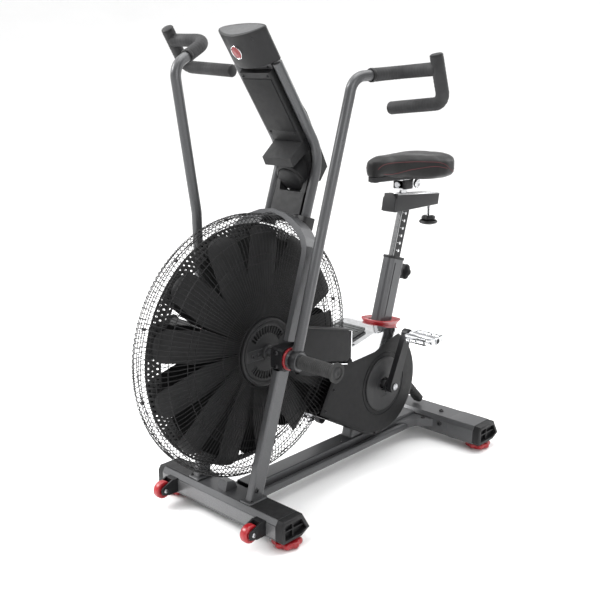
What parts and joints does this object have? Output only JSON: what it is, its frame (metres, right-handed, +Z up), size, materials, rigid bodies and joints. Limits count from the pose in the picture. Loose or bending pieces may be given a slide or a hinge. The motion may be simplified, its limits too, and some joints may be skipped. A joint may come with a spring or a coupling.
{
  "type": "air bike",
  "caption": "Upright air bike with caged fan, swinging hand levers, pedal cranks, adjustable saddle, footpegs, bottle holder and tilted console.",
  "frame": {"origin": "on the floor, at the middle of the whole machine's length and width", "axes": "+Z up, +X towards the rider's left, -Y towards the fan at the front"},
  "size_m": [0.7362, 1.225, 1.3188],
  "materials": {
    "frame_paint": "satin charcoal",
    "black_paint": "satin black",
    "black_plastic": "fine-grained matt",
    "red_plastic": "semi-gloss red",
    "steel": "brushed",
    "chrome": "polished",
    "rubber": "matt",
    "leather": "padded, with dark red piping",
    "screen": "dark display lens",
    "button": "soft grey"
  },
  "bodies": {
    "frame": {"front_stabilizer": "frame_paint", "rear_stabilizer": "frame_paint", "main_beam": "frame_paint", "frame_arch": "frame_paint", "mast_frame": "frame_paint", "leg_left": "frame_paint", "leg_right": "frame_paint", "pivot_block_left": "frame_paint", "pivot_block_right": "frame_paint", "seat_tube": "frame_paint", "front_cap_left": "black_plastic", "front_cap_right": "black_plastic", "rear_cap_left": "black_plastic", "rear_cap_right": "black_plastic", "hub_cover_left": "black_plastic", "hub_cover_right": "black_plastic", "belt_cover": "black_plastic", "shroud_left": "black_plastic", "shroud_right": "black_plastic", "side_cover": "black_plastic", "foot_peg_left": "black_plastic", "foot_peg_right": "black_plastic", "mast_panel": "black_plastic", "mast_cover": "black_plastic", "bottle_holder": "black_plastic", "console_housing": "black_plastic", "seat_collar": "red_plastic", "cage_left": "black_paint", "cage_right": "black_paint", "top_shroud": "chrome", "drive_belt": "rubber", "step_pad": "rubber", "rear_strut": "rubber", "console_screen": "screen"},
    "foot_front_left": {"front_foot_left": "red_plastic"},
    "foot_front_right": {"front_foot_right": "red_plastic"},
    "foot_rear_left": {"rear_foot_left": "red_plastic"},
    "foot_rear_right": {"rear_foot_right": "red_plastic"},
    "wheel_left": {"transport_wheel_left": "red_plastic"},
    "wheel_right": {"transport_wheel_right": "red_plastic"},
    "crank": {"crank_pulley": "steel", "crank_arm_left": "black_paint", "crank_arm_right": "black_paint"},
    "pedal_l": {"pedal_left": "chrome"},
    "pedal_r": {"pedal_right": "chrome"},
    "fan": {"fan_rotor": "black_paint", "fan_axle": "steel"},
    "arm_l": {"arm_left": "frame_paint", "handgrip_left": "rubber"},
    "arm_r": {"arm_right": "frame_paint", "handgrip_right": "rubber"},
    "post": {"seat_post": "chrome", "seat_slider": "black_paint"},
    "saddle": {"seat_carriage": "steel", "seat_pad": "leather"},
    "knob_post": {"post_knob": "black_plastic"},
    "knob_slider": {"slider_knob": "black_plastic"},
    "key_down": {"button_down": "button"},
    "key_start": {"button_start": "button"},
    "key_up": {"button_up": "button"}
  },
  "joints": [
    {"name": "crank_spin", "type": "hinge", "parent": "frame", "child": "crank", "pos_m": [0, 0.25, 0.259], "axis": [1, 0, 0], "continuous": true},
    {"name": "pedal_left_spin", "type": "hinge", "parent": "crank", "child": "pedal_l", "pos_m": [0.18, 0.31525, 0.41272], "axis": [1, 0, 0], "continuous": true},
    {"name": "pedal_right_spin", "type": "hinge", "parent": "crank", "child": "pedal_r", "pos_m": [-0.18, 0.18475, 0.10528], "axis": [1, 0, 0], "continuous": true},
    {"name": "fan_spin", "type": "hinge", "parent": "frame", "child": "fan", "pos_m": [0, -0.247, 0.478], "axis": [1, 0, 0], "continuous": true},
    {"name": "arm_left_swing", "type": "hinge", "parent": "frame", "child": "arm_l", "pos_m": [0, -0.247, 0.478], "axis": [1, 0, 0], "range_deg": [-4, 25.6]},
    {"name": "arm_right_swing", "type": "hinge", "parent": "frame", "child": "arm_r", "pos_m": [0, -0.247, 0.478], "axis": [1, 0, 0], "range_deg": [-25.6, 4]},
    {"name": "seat_height", "type": "slide", "parent": "frame", "child": "post", "axis": [0, 0.284, 0.9588], "range_m": [-0.11, 0.06]},
    {"name": "seat_fore_aft", "type": "slide", "parent": "post", "child": "saddle", "axis": [0, 0.9996, -0.0284], "range_m": [-0.01, 0.08]},
    {"name": "post_knob_turn", "type": "hinge", "parent": "frame", "child": "knob_post", "pos_m": [0, 0.42072, 0.57834], "axis": [0, 0.9588, -0.284], "continuous": true},
    {"name": "slider_knob_turn", "type": "hinge", "parent": "post", "child": "knob_slider", "pos_m": [0, 0.578, 0.742], "axis": [0, 0, 1], "continuous": true},
    {"name": "wheel_left_roll", "type": "hinge", "parent": "frame", "child": "wheel_left", "pos_m": [0.178, -0.417, 0.054], "axis": [1, 0, 0], "continuous": true},
    {"name": "wheel_right_roll", "type": "hinge", "parent": "frame", "child": "wheel_right", "pos_m": [-0.178, -0.417, 0.054], "axis": [1, 0, 0], "continuous": true},
    {"name": "foot_front_left_turn", "type": "hinge", "parent": "frame", "child": "foot_front_left", "pos_m": [0.222, -0.323, 0.012], "axis": [0, 0, 1], "continuous": true},
    {"name": "foot_front_right_turn", "type": "hinge", "parent": "frame", "child": "foot_front_right", "pos_m": [-0.222, -0.323, 0.012], "axis": [0, 0, 1], "continuous": true},
    {"name": "foot_rear_left_turn", "type": "hinge", "parent": "frame", "child": "foot_rear_left", "pos_m": [0.246, 0.555, 0.012], "axis": [0, 0, 1], "continuous": true},
    {"name": "foot_rear_right_turn", "type": "hinge", "parent": "frame", "child": "foot_rear_right", "pos_m": [-0.246, 0.555, 0.012], "axis": [0, 0, 1], "continuous": true},
    {"name": "button_down_press", "type": "slide", "parent": "frame", "child": "key_down", "axis": [0, -0.8288, -0.5595], "range_m": [0, 0.0018], "stiffness_N_per_m": 600},
    {"name": "button_start_press", "type": "slide", "parent": "frame", "child": "key_start", "axis": [0, -0.8288, -0.5595], "range_m": [0, 0.0018], "stiffness_N_per_m": 600},
    {"name": "button_up_press", "type": "slide", "parent": "frame", "child": "key_up", "axis": [0, -0.8288, -0.5595], "range_m": [0, 0.0018], "stiffness_N_per_m": 600}
  ],
  "couplings": [
    {"joint": "fan_spin", "follows": "crank_spin", "ratio": 4.3704},
    {"joint": "arm_right_swing", "follows": "arm_left_swing", "ratio": -1}
  ]
}
